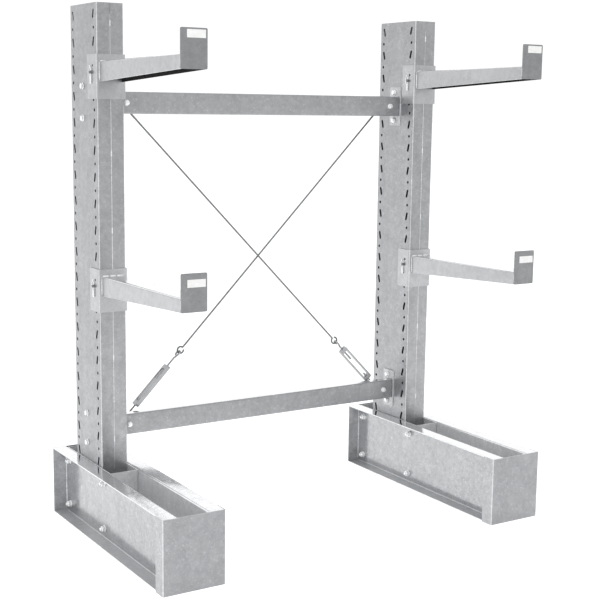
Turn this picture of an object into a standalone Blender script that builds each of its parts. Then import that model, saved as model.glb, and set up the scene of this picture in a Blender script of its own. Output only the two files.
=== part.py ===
"""Single-sided galvanised cantilever rack: two columns on bases, four pinned arms, braced bay.

Axes: +X to the right along the braces, +Y to the back, +Z up; origin under the middle of the rack.
Sizes are metres. Positions named *_Y0 are measured back from the front face of a column.
"""

import math

import bmesh
import bpy
from mathutils import Matrix, Vector

# --- overall layout ---------------------------------------------------------------------------
GAP = 0.0003                 # clearance between pieces that touch
HOLE_PITCH = 0.090           # one hole and one slot per pitch, in two rows, on every column side
COLUMN_SPACING = 1.317       # centre to centre of the two columns
COLUMN_FRONT = 0.146         # Y of the columns' front faces
COLUMN_TOP = 1.828
COLUMN_FOOT = 0.003          # height of a column's lower end above the floor
COLUMN_WIDTH = 0.098
COLUMN_DEPTH = 0.230
COLUMN_SHEET = 0.003
COLUMN_BEND = 0.003          # inner radius of the column's folds

# --- punched rows of the columns --------------------------------------------------------------
FIRST_SLOT_Z = 1.7916
FIRST_HOLE_Z = 1.7466
SLOT_COUNT = 18
HOLE_COUNT = 17
HOLE_DIAMETER = 0.011
SLOT_WIDTH = 0.011
SLOT_CENTRES = 0.022         # between the centres of a slot's two round ends
SLOT_TILT = math.radians(15.0)
ROW_INSET = 0.0275           # slot centres from the nearer column face
HOLE_INSET = 0.0240          # hole centres from the nearer column face
PUNCH_SIDES = 8

# --- bases ------------------------------------------------------------------------------------
BASE_HEIGHT = 0.246
BASE_SHEET = 0.004
BASE_BEND = 0.004
BASE_FLANGE = 0.0538         # outward flange, web included
BASE_FRONT_Y0 = -0.6107
BASE_BACK_Y0 = 0.3187
END_SHEET = 0.003            # front cap and back plate
CAP_RETURN = 0.052
SHOE_SHEET = 0.003           # box shoe welded round the foot of a column
SHOE_FRONT_Y0 = -0.080
SHOE_BACK_Y0 = 0.311
SHOE_TOP = 0.243
BASE_BOLT_Y0 = (-0.040, 0.276)
BASE_BOLT_Z = (0.037, 0.201)
BASE_BOLT_DIAMETER = 0.012
BASE_BOLT_HOLE = 0.0135

# --- arms -------------------------------------------------------------------------------------
ARM_SLOTS = (2, 10)          # the column slots, counted from the top, that carry the arms
COLLAR_SHEET = 0.005
COLLAR_BEND = 0.004
COLLAR_HEIGHT = 0.148
COLLAR_TOP_ABOVE_SLOT = 0.049
COLLAR_LEG_Y0 = 0.070
PIN_HOLE = 0.0116
SIGHT_HOLE = 0.010           # second hole, over the free end of the column slot
SIGHT_ABOVE_PIN = 0.0215
SIGHT_Y0 = 0.0238
ARM_REACH_Y0 = -0.6096
BEAM_WIDTH = 0.084
BEAM_SHEET = 0.003
BEAM_BEND = 0.003
BEAM_ROOT_TOP = -0.0235      # below the top of the collar
BEAM_ROOT_HEIGHT = 0.0675
BEAM_TIP_TOP = -0.0150
BEAM_TIP_HEIGHT = 0.0450
STOP_WIDTH = 0.088
STOP_HEIGHT = 0.119
STOP_SHEET = 0.005
STOP_CORNER = 0.004
PIN_DIAMETER = 0.010
PIN_HEAD_DIAMETER = 0.017
PIN_HEAD = 0.005
PIN_CROSS_HOLE = 0.0042
CLIP_WIRE = 0.003
CLIP_OFFSET = 0.0047         # clip plane outside the collar

# --- braces, brackets and tie rods ------------------------------------------------------------
BRACE_Z = (1.502, 0.361)
BRACE_HEIGHT = 0.076
BRACE_FLANGE = 0.034
BRACE_SHEET = 0.0025
BRACE_BEND = 0.0025
BRACE_FRONT_Y0 = 0.090
BRACE_END_GAP = 0.008        # between a column face and the end of a brace
BRACKET_SHEET = 0.004
BRACKET_HEIGHT = 0.150
BRACKET_Y0 = (0.084, 0.150)
BRACKET_TAB_LENGTH = 0.078   # front tab, inside the brace
BRACKET_REAR_LENGTH = 0.121  # rear tab, behind the brace, carries a tie rod
BRACKET_REAR_Y0 = 0.1423
BRACKET_TAB_HEIGHT = 0.064
BRACKET_REAR_HEIGHT = 0.048
BRACE_BOLT_FROM_COLUMN = 0.048
BRACE_BOLT_DIAMETER = 0.010
BRACE_BOLT_HOLE = 0.0115
BRACKET_BOLT_Y0 = 0.122
BRACKET_BOLT_OFFSET = 0.054
BRACKET_BOLT_HOLE = 0.0125
ROD_DIAMETER = 0.0065
ROD_PLANES_Y0 = (0.1380, 0.1510)    # falling rod before the rear tabs, rising rod behind them
TOP_EYE_RADIUS = 0.0095
LOW_EYE_RADIUS = 0.0125

TURNBUCKLE_START = {"left": 0.071, "right": 0.060}     # from the lower bolt to the body's near end
TURNBUCKLE_LENGTH = 0.188
TURNBUCKLE_WIDTH = 0.034
TURNBUCKLE_THICKNESS = 0.013
TURNBUCKLE_WINDOW = 0.022
TURNBUCKLE_BOSS = 0.018
HOOK_SCREWED_IN = 0.062      # of the hook's and the eye's thread, boss included
EYE_SCREWED_IN = 0.034
TURNBUCKLE_BORE = 0.0090
THREAD_DIAMETER = 0.0080
HOOK_RADIUS = 0.0105
HOOK_APEX = {"left": 0.330, "right": 0.298}            # far end of the hook, from the bolt
EYE_RADIUS = 0.0105

SIDES = (("left", -1), ("right", 1))


# --- scene set-up -----------------------------------------------------------------------------
for old in list(bpy.data.objects):
    bpy.data.objects.remove(old, do_unlink=True)
for old in list(bpy.data.collections):
    bpy.data.collections.remove(old)

RACK = bpy.data.collections.new("cantilever_rack")
CUTTERS = bpy.data.collections.new("cutters")
bpy.context.scene.collection.children.link(RACK)
bpy.context.scene.collection.children.link(CUTTERS)


def steel(name, colour, roughness, metallic=0.9):
    """A Principled metal of one base colour."""
    mat = bpy.data.materials.new(name)
    mat.use_nodes = True
    shader = mat.node_tree.nodes["Principled BSDF"]
    shader.inputs["Base Color"].default_value = (*colour, 1.0)
    shader.inputs["Metallic"].default_value = metallic
    shader.inputs["Roughness"].default_value = roughness
    mat.diffuse_color = (*colour, 1.0)
    return mat


SHEET = steel("galvanised_sheet", (0.56, 0.57, 0.59), 0.42)
PLATE = steel("galvanised_plate", (0.48, 0.49, 0.51), 0.48)
BRIGHT = steel("bright_zinc", (0.74, 0.75, 0.76), 0.28)
WIRE = steel("zinc_wire", (0.66, 0.67, 0.68), 0.32)


def add(name, bm, mat, location=(0.0, 0.0, 0.0), rotation=None, smooth=None):
    """Turn a bmesh into a named object of the rack."""
    bmesh.ops.recalc_face_normals(bm, faces=bm.faces)
    mesh = bpy.data.meshes.new(name)
    bm.to_mesh(mesh)
    bm.free()
    if smooth is not None:
        mesh.shade_smooth()
        mesh.set_sharp_from_angle(angle=math.radians(smooth))
    obj = bpy.data.objects.new(name, mesh)
    obj.location = location
    if rotation is not None:
        obj.rotation_euler = rotation
    obj.data.materials.append(mat)
    RACK.objects.link(obj)
    return obj


def add_cutter(name, bm, location=(0.0, 0.0, 0.0), rotation=None):
    """A hidden helper solid for Boolean cuts."""
    bmesh.ops.recalc_face_normals(bm, faces=bm.faces)
    mesh = bpy.data.meshes.new(name)
    bm.to_mesh(mesh)
    bm.free()
    obj = bpy.data.objects.new(name, mesh)
    obj.location = location
    if rotation is not None:
        obj.rotation_euler = rotation
    obj.hide_render = True
    obj.display_type = "WIRE"
    CUTTERS.objects.link(obj)
    return obj


def cut(obj, cutter):
    """Subtract a cutter from an object."""
    mod = obj.modifiers.new("cut_" + cutter.name, "BOOLEAN")
    mod.operation = "DIFFERENCE"
    mod.solver = "EXACT"
    mod.object = cutter


# --- shape helpers ----------------------------------------------------------------------------
def frame_of(axis):
    """Two directions of the cross-section plane, then the extrusion direction."""
    return {
        "X": (Vector((0, 1, 0)), Vector((0, 0, 1)), Vector((1, 0, 0))),
        "Y": (Vector((1, 0, 0)), Vector((0, 0, 1)), Vector((0, 1, 0))),
        "Z": (Vector((1, 0, 0)), Vector((0, 1, 0)), Vector((0, 0, 1))),
    }[axis]


def skin(bm, rings):
    """Close a row of equal rings of points into one solid."""
    loops = [[bm.verts.new(p) for p in ring] for ring in rings]
    for a, b in zip(loops, loops[1:]):
        for i in range(len(a)):
            j = (i + 1) % len(a)
            bm.faces.new((a[i], a[j], b[j], b[i]))
    bm.faces.new(loops[0][::-1])
    bm.faces.new(loops[-1])


def prism(bm, outline, axis, start, end):
    """Extrude a closed outline along an axis."""
    u, v, w = frame_of(axis)
    skin(bm, [[u * a + v * b + w * t for a, b in outline] for t in (start, end)])


def rectangle(width, height, centre=(0.0, 0.0)):
    x, y, cx, cy = width / 2, height / 2, centre[0], centre[1]
    return [(cx - x, cy - y), (cx + x, cy - y), (cx + x, cy + y), (cx - x, cy + y)]


def circle(diameter, sides, centre=(0.0, 0.0)):
    """Outline of a round hole or bar."""
    turn = math.pi / sides
    return [(centre[0] + diameter / 2 * math.cos(turn + 2 * math.pi * i / sides),
             centre[1] + diameter / 2 * math.sin(turn + 2 * math.pi * i / sides))
            for i in range(sides)]


def slot(width, centres, tilt, centre, sides):
    """Outline of a round-ended slot; tilt leans its lower end towards +a."""
    half, r = sides // 2, width / 2
    points = []
    for end in (1, -1):
        base = math.pi / 2 - math.pi / 2 * end
        for i in range(half):
            angle = base + math.pi * (i + 0.5) / half
            points.append((r * math.cos(angle), end * centres / 2 + r * math.sin(angle)))
    c, s = math.cos(tilt), math.sin(tilt)
    return [(centre[0] + c * a - s * b, centre[1] + s * a + c * b) for a, b in points]


def folded(path, sheet, bend, steps=2):
    """Outline of sheet folded along a path; the sheet lies to the left of the path."""
    near, far = [], []
    count = len(path)
    for i, corner in enumerate(path):
        here = Vector(corner)
        if i in (0, count - 1):
            ahead = (Vector(path[1]) - here) if i == 0 else (here - Vector(path[-2]))
            ahead.normalize()
            near.append(here)
            far.append(here + Vector((-ahead.y, ahead.x)) * sheet)
            continue
        came = (here - Vector(path[i - 1])).normalized()
        goes = (Vector(path[i + 1]) - here).normalized()
        turn = math.atan2(came.x * goes.y - came.y * goes.x, came.dot(goes))
        side = 1.0 if turn > 0 else -1.0
        outer = bend + sheet if turn > 0 else bend
        inner = bend if turn > 0 else bend + sheet
        normal = Vector((-came.y, came.x)) * side
        centre = here - came * outer * math.tan(abs(turn) / 2) + normal * outer
        for k in range(steps + 1):
            angle = turn * k / steps
            spoke = -normal
            c, s = math.cos(angle), math.sin(angle)
            spoke = Vector((c * spoke.x - s * spoke.y, s * spoke.x + c * spoke.y))
            near.append(centre + spoke * outer)
            far.append(centre + spoke * inner)
    return [tuple(p) for p in near] + [tuple(p) for p in reversed(far)]


def tube(bm, path, diameter, sides=8):
    """A round wire along a path of points, closed at both ends."""
    points = [Vector(p) for p in path]
    tangents = []
    for i in range(len(points)):
        a, b = points[max(i - 1, 0)], points[min(i + 1, len(points) - 1)]
        tangents.append((b - a).normalized())
    start = tangents[0]
    helper = Vector((0, 1, 0)) if abs(start.y) < 0.9 else Vector((1, 0, 0))
    u = start.cross(helper).normalized()
    rings = []
    for point, tangent in zip(points, tangents):
        u = (u - tangent * u.dot(tangent)).normalized()
        v = tangent.cross(u)
        rings.append([point + (u * math.cos(2 * math.pi * k / sides)
                               + v * math.sin(2 * math.pi * k / sides)) * diameter / 2
                      for k in range(sides)])
    skin(bm, rings)


def arc(centre, radius, start, end, steps):
    """Points of an arc in a plane; angles in degrees."""
    return [(centre[0] + radius * math.cos(math.radians(start + (end - start) * i / steps)),
             centre[1] + radius * math.sin(math.radians(start + (end - start) * i / steps)))
            for i in range(steps + 1)]


def ring12(axis, t, size, hexagon):
    """Twelve points round an axis, on a circle or on a hexagon of that width across flats."""
    u, v, w = frame_of(axis)
    ring = []
    for i in range(12):
        angle = 2 * math.pi * i / 12
        r = size / 2
        if hexagon and i % 2 == 0:
            r = r / math.cos(math.pi / 6)
        ring.append(u * (r * math.cos(angle)) + v * (r * math.sin(angle)) + w * t)
    return ring


def fastener(bm, axis, sections):
    """A solid of revolution-like sections: (position, size, is hexagon)."""
    skin(bm, [ring12(axis, *section) for section in sections])


def hex_bolt(bm, axis, head_face, nut_face, diameter, flats, head, nut, tail):
    """Bolt with washers and nut; its head sits on head_face, its nut beyond nut_face."""
    way = 1.0 if nut_face > head_face else -1.0
    washer, washer_width = 0.0025, flats * 1.28
    a, b = head_face, nut_face
    fastener(bm, axis, [
        (a - way * (washer + head), flats * 0.90, True),
        (a - way * (washer + head * 0.82), flats, True),
        (a - way * washer, flats, True),
        (a - way * washer, washer_width, False),
        (a, washer_width, False),
        (a, diameter, False),
        (b, diameter, False),
        (b, washer_width, False),
        (b + way * washer, washer_width, False),
        (b + way * washer, flats, True),
        (b + way * (washer + nut * 0.85), flats, True),
        (b + way * (washer + nut), flats * 0.90, True),
        (b + way * (washer + nut), diameter, False),
        (b + way * (washer + nut + tail), diameter, False),
    ])


def front(y0):
    """Y of a depth measured back from the columns' front faces."""
    return COLUMN_FRONT + y0


# --- columns ----------------------------------------------------------------------------------
def column_cutter(name, x):
    """Every hole and slot through both sides of one column."""
    bm = bmesh.new()
    reach = COLUMN_WIDTH / 2 + 0.01
    middle = COLUMN_DEPTH / 2
    for i in range(SLOT_COUNT):
        z = FIRST_SLOT_Z - i * HOLE_PITCH
        for row, lean in ((-1, 1), (1, -1)):
            y = front(middle + row * (middle - ROW_INSET))
            prism(bm, slot(SLOT_WIDTH, SLOT_CENTRES, lean * SLOT_TILT, (y, z), PUNCH_SIDES),
                  "X", -reach, reach)
    for i in range(HOLE_COUNT):
        z = FIRST_HOLE_Z - i * HOLE_PITCH
        for row in (-1, 1):
            y = front(middle + row * (middle - HOLE_INSET))
            prism(bm, circle(HOLE_DIAMETER, PUNCH_SIDES, (y, z)), "X", -reach, reach)
    for z in BRACE_Z:
        for step in (-1, 1):
            place = (front(BRACKET_BOLT_Y0), z + step * BRACKET_BOLT_OFFSET)
            prism(bm, circle(BRACKET_BOLT_HOLE, PUNCH_SIDES, place), "X", -reach, reach)
    return add_cutter(name, bm, location=(x, 0.0, 0.0))


def build_column(side, way):
    x = way * COLUMN_SPACING / 2
    cutter = column_cutter("column_" + side + "_punching", x)
    for half, hand in (("outer", way), ("inner", -way)):
        w, lip = hand * COLUMN_WIDTH / 2, hand * GAP / 2
        path = [(lip, front(0.0)), (w, front(0.0)), (w, front(COLUMN_DEPTH)),
                (lip, front(COLUMN_DEPTH))]
        if hand < 0:
            path.reverse()
        bm = bmesh.new()
        prism(bm, folded(path, COLUMN_SHEET, COLUMN_BEND), "Z", COLUMN_FOOT, COLUMN_TOP)
        obj = add("column_" + side + "_" + half + "_channel", bm, SHEET, (x, 0.0, 0.0))
        cut(obj, cutter)


# --- bases ------------------------------------------------------------------------------------
def build_base(side, way):
    x = way * COLUMN_SPACING / 2
    shoe_in = COLUMN_WIDTH / 2 + GAP
    shoe_out = shoe_in + SHOE_SHEET
    web_in = shoe_out + GAP
    lip = web_in + BASE_FLANGE

    bm = bmesh.new()
    for y in BASE_BOLT_Y0:
        for z in BASE_BOLT_Z:
            prism(bm, circle(BASE_BOLT_HOLE, 12, (front(y), z)), "X", -0.08, 0.08)
    holes = add_cutter("base_" + side + "_bolt_holes", bm, (x, 0.0, 0.0))

    bm = bmesh.new()
    inside = rectangle(2 * shoe_in, SHOE_BACK_Y0 - SHOE_FRONT_Y0 - 2 * SHOE_SHEET,
                       (0.0, front((SHOE_BACK_Y0 + SHOE_FRONT_Y0) / 2)))
    prism(bm, inside, "Z", -0.01, SHOE_TOP + 0.01)
    bore = add_cutter("shoe_" + side + "_inside", bm, (x, 0.0, 0.0))

    bm = bmesh.new()
    outside = rectangle(2 * shoe_out, SHOE_BACK_Y0 - SHOE_FRONT_Y0,
                        (0.0, front((SHOE_BACK_Y0 + SHOE_FRONT_Y0) / 2)))
    prism(bm, outside, "Z", COLUMN_FOOT, SHOE_TOP)
    shoe = add("column_" + side + "_shoe", bm, PLATE, (x, 0.0, 0.0))
    cut(shoe, bore)
    cut(shoe, holes)

    y_front = front(BASE_FRONT_Y0) + END_SHEET + GAP
    y_back = front(BASE_BACK_Y0) - END_SHEET - GAP
    for half, hand in (("outer", way), ("inner", -way)):
        path = [(hand * lip, 0.0), (hand * web_in, 0.0), (hand * web_in, BASE_HEIGHT),
                (hand * lip, BASE_HEIGHT)]
        if hand > 0:
            path.reverse()
        bm = bmesh.new()
        prism(bm, folded(path, BASE_SHEET, BASE_BEND, 3), "Y", y_front, y_back)
        obj = add("base_" + side + "_" + half + "_channel", bm, SHEET, (x, 0.0, 0.0))
        cut(obj, holes)

    cap_in = lip + GAP
    cap_out = cap_in + END_SHEET
    y_cap = front(BASE_FRONT_Y0)
    bm = bmesh.new()
    path = [(-cap_out, y_cap + CAP_RETURN), (-cap_out, y_cap), (cap_out, y_cap),
            (cap_out, y_cap + CAP_RETURN)]
    prism(bm, folded(path, END_SHEET, 0.001), "Z", 0.0, BASE_HEIGHT)
    add("base_" + side + "_front_cap", bm, PLATE, (x, 0.0, 0.0))

    bm = bmesh.new()
    y = front(BASE_BACK_Y0)
    prism(bm, rectangle(2 * lip, BASE_HEIGHT, (0.0, BASE_HEIGHT / 2)), "Y", y - END_SHEET, y)
    add("base_" + side + "_back_plate", bm, PLATE, (x, 0.0, 0.0))

    web_out = web_in + BASE_SHEET + GAP
    for place, y in zip(("front", "back"), BASE_BOLT_Y0):
        for level, z in zip(("lower", "upper"), BASE_BOLT_Z):
            bm = bmesh.new()
            hex_bolt(bm, "X", web_out, -web_out, BASE_BOLT_DIAMETER, 0.019, 0.0078, 0.0100,
                     0.0060)
            add("base_" + side + "_bolt_" + place + "_" + level, bm, BRIGHT,
                (x, front(y), z), smooth=30.0)


# --- arms -------------------------------------------------------------------------------------
def build_arm(level, side, way, slot_index):
    name = "arm_" + level + "_" + side
    x = way * COLUMN_SPACING / 2
    slot_z = FIRST_SLOT_Z - slot_index * HOLE_PITCH
    pin_z = slot_z - SLOT_CENTRES / 2 * math.cos(SLOT_TILT)
    pin_y = front(ROW_INSET + SLOT_CENTRES / 2 * math.sin(SLOT_TILT))
    top = slot_z + COLLAR_TOP_ABOVE_SLOT
    leg_in = COLUMN_WIDTH / 2 + GAP
    leg_out = leg_in + COLLAR_SHEET
    y_face = front(-GAP - COLLAR_SHEET)

    # collar folded round the front of the column
    bm = bmesh.new()
    path = [(-leg_out, front(COLLAR_LEG_Y0)), (-leg_out, y_face), (leg_out, y_face),
            (leg_out, front(COLLAR_LEG_Y0))]
    prism(bm, folded(path, COLLAR_SHEET, 0.0025, 3), "Z", top - COLLAR_HEIGHT, top)
    collar = add(name + "_collar", bm, PLATE, (x, 0.0, 0.0))
    bm = bmesh.new()
    prism(bm, circle(PIN_HOLE, 12, (pin_y, pin_z)), "X", -0.08, 0.08)
    prism(bm, circle(SIGHT_HOLE, 8, (front(SIGHT_Y0), pin_z + SIGHT_ABOVE_PIN)), "X", -0.08, 0.08)
    cut(collar, add_cutter(name + "_collar_holes", bm, (x, 0.0, 0.0)))

    # tapered beam, an inverted channel open below
    y_root = y_face - GAP
    y_tip = front(ARM_REACH_Y0) + STOP_SHEET + GAP
    rings = []
    for y, beam_top, height in ((y_root, top + BEAM_ROOT_TOP, BEAM_ROOT_HEIGHT),
                                (y_tip, top + BEAM_TIP_TOP, BEAM_TIP_HEIGHT)):
        h, z = BEAM_WIDTH / 2, beam_top
        path = [(h, z - height), (h, z), (-h, z), (-h, z - height)]
        rings.append([Vector((a, y, b)) for a, b in folded(path, BEAM_SHEET, BEAM_BEND)])
    bm = bmesh.new()
    skin(bm, rings)
    add(name + "_beam", bm, SHEET, (x, 0.0, 0.0))

    # upright stop plate on the tip
    foot = top + BEAM_TIP_TOP - BEAM_TIP_HEIGHT
    w, c = STOP_WIDTH / 2, STOP_CORNER
    outline = [(-w, foot), (w, foot)]
    outline += arc((w - c, foot + STOP_HEIGHT - c), c, 0, 90, 3)
    outline += arc((-w + c, foot + STOP_HEIGHT - c), c, 90, 180, 3)
    bm = bmesh.new()
    prism(bm, outline, "Y", front(ARM_REACH_Y0), front(ARM_REACH_Y0) + STOP_SHEET)
    add(name + "_end_plate", bm, PLATE, (x, 0.0, 0.0))

    # headed pin, its head on the +X side
    tail = leg_out + CLIP_OFFSET + 0.0050
    clip_x = -(leg_out + CLIP_OFFSET - 0.0010)
    d = PIN_DIAMETER
    bm = bmesh.new()
    fastener(bm, "X", [
        (-tail, d * 0.7, False),
        (-tail + 0.0015, d, False),
        (leg_out + GAP, d, False),
        (leg_out + GAP, PIN_HEAD_DIAMETER, False),
        (leg_out + GAP + PIN_HEAD * 0.7, PIN_HEAD_DIAMETER, False),
        (leg_out + GAP + PIN_HEAD, PIN_HEAD_DIAMETER * 0.75, False),
    ])
    pin = add(name + "_pin", bm, BRIGHT, (x, pin_y, pin_z), smooth=35.0)
    bm = bmesh.new()
    prism(bm, circle(PIN_CROSS_HOLE, 12, (clip_x, 0.0)), "Z", -0.01, 0.01)
    cut(pin, add_cutter(name + "_pin_cross_hole", bm, (x, pin_y, pin_z)))

    # spring clip: one straight leg through the pin, one leg round it
    r = 0.0030
    leg = [(0.0, 0.0150), (0.0, -0.027)]
    loop = arc((r, -0.034), r, 180, 360, 8)
    back = [(2 * r + 0.0002, -0.018), (0.0092, -0.0095), (0.0118, -0.002), (0.0120, 0.005),
            (0.0098, 0.012), (0.0072, 0.0175), (0.0086, 0.0210)]
    bm = bmesh.new()
    tube(bm, [(0.0, a, b) for a, b in leg + loop + back], CLIP_WIRE, 8)
    add(name + "_clip", bm, WIRE, (x + clip_x, pin_y, pin_z), smooth=40.0)


# --- braces, brackets, bolts ------------------------------------------------------------------
def build_braces():
    face = COLUMN_SPACING / 2 - COLUMN_WIDTH / 2
    bolt_x = face - BRACE_BOLT_FROM_COLUMN
    y = front(BRACE_FRONT_Y0)
    y_tab = y + BRACE_SHEET + GAP
    for level, z in zip(("upper", "lower"), BRACE_Z):
        h, end = BRACE_HEIGHT / 2, face - BRACE_END_GAP
        bm = bmesh.new()
        for way in (-1, 1):
            prism(bm, circle(BRACE_BOLT_HOLE, 12, (way * bolt_x, z)), "Y", y - 0.02, y + 0.08)
        holes = add_cutter("brace_" + level + "_holes", bm)

        bm = bmesh.new()
        path = [(y + BRACE_FLANGE, z + h), (y, z + h), (y, z - h), (y + BRACE_FLANGE, z - h)]
        prism(bm, folded(path, BRACE_SHEET, BRACE_BEND), "X", -end, end)
        brace = add("brace_" + level, bm, SHEET)
        cut(brace, holes)

        for side, way in SIDES:
            # tall leg on the column with two tabs: one in the brace, one behind it
            a, b = BRACKET_Y0[0] + COLUMN_FRONT, BRACKET_Y0[1] + COLUMN_FRONT
            x0 = way * (face - GAP)
            x1 = x0 - way * BRACKET_SHEET
            x2 = x0 - way * BRACKET_TAB_LENGTH
            t, s = BRACKET_TAB_HEIGHT / 2, BRACKET_HEIGHT / 2
            bm = bmesh.new()
            prism(bm, rectangle(b - a, 2 * s, ((a + b) / 2, z)), "X", min(x0, x1), max(x0, x1))
            leg = add("bracket_" + level + "_" + side, bm, PLATE)
            bm = bmesh.new()
            mid = (x2 + (x0 + x1) / 2) / 2
            prism(bm, rectangle(abs(x2 - (x0 + x1) / 2), 2 * t, (mid, z)), "Y", y_tab,
                  y_tab + BRACKET_SHEET)
            x3 = x0 - way * BRACKET_REAR_LENGTH
            mid, rear = (x3 + (x0 + x1) / 2) / 2, front(BRACKET_REAR_Y0)
            prism(bm, rectangle(abs(x3 - (x0 + x1) / 2), BRACKET_REAR_HEIGHT, (mid, z)), "Y",
                  rear, rear + BRACKET_SHEET)
            tabs = add_cutter("bracket_" + level + "_" + side + "_tabs", bm)
            join = leg.modifiers.new("tabs", "BOOLEAN")
            join.operation = "UNION"
            join.solver = "EXACT"
            join.object = tabs
            bm = bmesh.new()
            for step in (-1, 1):
                place = (front(BRACKET_BOLT_Y0), z + step * BRACKET_BOLT_OFFSET)
                prism(bm, circle(BRACKET_BOLT_HOLE, 12, place), "X", x0 - 0.02, x0 + 0.02)
            cut(leg, add_cutter("bracket_" + level + "_" + side + "_holes", bm))
            cut(leg, holes)

            # long brace bolt; its nut clamps the rear tab, or the rod's eye behind that
            falling = (level == "upper") == (side == "left")
            seat = BRACKET_REAR_Y0 + BRACKET_SHEET
            if not falling:
                seat = ROD_PLANES_Y0[1] + THREAD_DIAMETER / 2
            bm = bmesh.new()
            hex_bolt(bm, "Y", y - GAP, front(seat) + GAP, BRACE_BOLT_DIAMETER, 0.016, 0.0064,
                     0.0080, 0.0050)
            add("brace_" + level + "_" + side + "_bolt", bm, BRIGHT, (way * bolt_x, 0.0, z),
                smooth=30.0)


# --- tie rods and turnbuckles -----------------------------------------------------------------
def build_tie(name, way, y0, flat_to_front):
    """A rod from an upper brace bolt to a turnbuckle on the opposite lower bolt.

    Shapes are drawn with s along the diagonal, up from the lower bolt, and n across it.
    """
    face = COLUMN_SPACING / 2 - COLUMN_WIDTH / 2
    bolt_x = face - BRACE_BOLT_FROM_COLUMN
    low = Vector((way * bolt_x, front(y0), BRACE_Z[1]))
    high = Vector((-way * bolt_x, front(y0), BRACE_Z[0]))
    along = (high - low).normalized()
    length = (high - low).length
    across = Vector((along.z, 0.0, -along.x))
    depth = Vector((0.0, 1.0, 0.0))
    basis = Matrix((across, depth, along)).transposed().to_4x4()
    turn = Matrix.Rotation(0.0 if flat_to_front else math.pi / 2, 4, "Z")
    spin = (basis @ turn).to_euler()

    def place(s):
        return low + along * s

    # rod with an open eye bent on both ends, drawn in the n-s plane
    r, top = TOP_EYE_RADIUS, length
    apex = HOOK_APEX[name]
    q, seat = LOW_EYE_RADIUS, apex - THREAD_DIAMETER / 2 - ROD_DIAMETER / 2 - GAP
    low_c = seat + q
    path = [(n, low_c + v) for n, v in arc((0.0, 0.0), q, 90 + 318, 90, 14)]
    path[-1] = (0.0, low_c + q)
    stem = [(0.0, low_c + q + 0.010), (0.0, top - r - 0.012)]
    upper = [(n, top + v) for n, v in arc((0.0, 0.0), r, 270, 270 + 318, 14)]
    bm = bmesh.new()
    shift = Vector((0.0, 0.0, apex))
    tube(bm, [Vector((n, 0.0, s)) - shift for n, s in path + stem + upper], ROD_DIAMETER, 8)
    add("tie_rod_" + name, bm, WIRE, place(apex), basis.to_euler(), smooth=40.0)

    # turnbuckle body: two bars between bored ends
    start, size = TURNBUCKLE_START[name], TURNBUCKLE_LENGTH
    w, t, c = TURNBUCKLE_WIDTH / 2, TURNBUCKLE_THICKNESS / 2, 0.006
    outline = [(-w, c), (-w + c, 0.0), (w - c, 0.0), (w, c), (w, size - c), (w - c, size),
               (-w + c, size), (-w, size - c)]
    middle = size / 2
    bm = bmesh.new()
    prism(bm, [(a, b - middle) for a, b in outline], "Y", -t, t)
    body = add("turnbuckle_" + name + "_body", bm, BRIGHT, place(start + middle), spin)
    bm = bmesh.new()
    window = size - 2 * TURNBUCKLE_BOSS
    prism(bm, rectangle(TURNBUCKLE_WINDOW, window), "Y", -2 * t, 2 * t)
    cut(body, add_cutter("turnbuckle_" + name + "_window", bm, place(start + middle), spin))
    bm = bmesh.new()
    prism(bm, circle(TURNBUCKLE_BORE, 12), "Z", -size, size)
    cut(body, add_cutter("turnbuckle_" + name + "_bore", bm, place(start + middle), spin))

    # threaded hook, its bend in the depth-s plane so that it passes through the rod's eye
    h, tip = HOOK_RADIUS, apex
    inner_end = start + size - HOOK_SCREWED_IN
    bend = arc((0.0, tip - h), h, 180, -60, 12)
    path = [(0.0, inner_end), (0.0, tip - 3.2 * h), (-h * 0.75, tip - 1.9 * h)]
    path += [(n, s) for n, s in bend]
    bm = bmesh.new()
    tube(bm, [Vector((0.0, n, s - tip)) for n, s in path], THREAD_DIAMETER * 0.9, 8)
    add("turnbuckle_" + name + "_hook", bm, BRIGHT, place(tip), basis.to_euler(), smooth=40.0)

    # threaded eye round the brace bolt
    e = EYE_RADIUS
    path = [(n, s) for n, s in arc((0.0, 0.0), e, 90 + 312, 90, 14)]
    path += [(0.0, e + 0.008), (0.0, start + EYE_SCREWED_IN)]
    bm = bmesh.new()
    tube(bm, [Vector((n, 0.0, s)) for n, s in path], THREAD_DIAMETER * 0.9, 8)
    add("turnbuckle_" + name + "_eye", bm, BRIGHT, place(0.0), basis.to_euler(), smooth=40.0)


for side_name, side_way in SIDES:
    build_column(side_name, side_way)
    build_base(side_name, side_way)
    for arm_level, index in zip(("upper", "lower"), ARM_SLOTS):
        build_arm(arm_level, side_name, side_way, index)
build_braces()
build_tie("right", 1, ROD_PLANES_Y0[0], True)
build_tie("left", -1, ROD_PLANES_Y0[1], False)
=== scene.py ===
"""Looks of the galvanised cantilever rack: surfaces, welds, bolts, stickers, floor, light, camera."""

import math
import random

import bmesh
import bpy
from mathutils import Matrix, Vector


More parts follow.
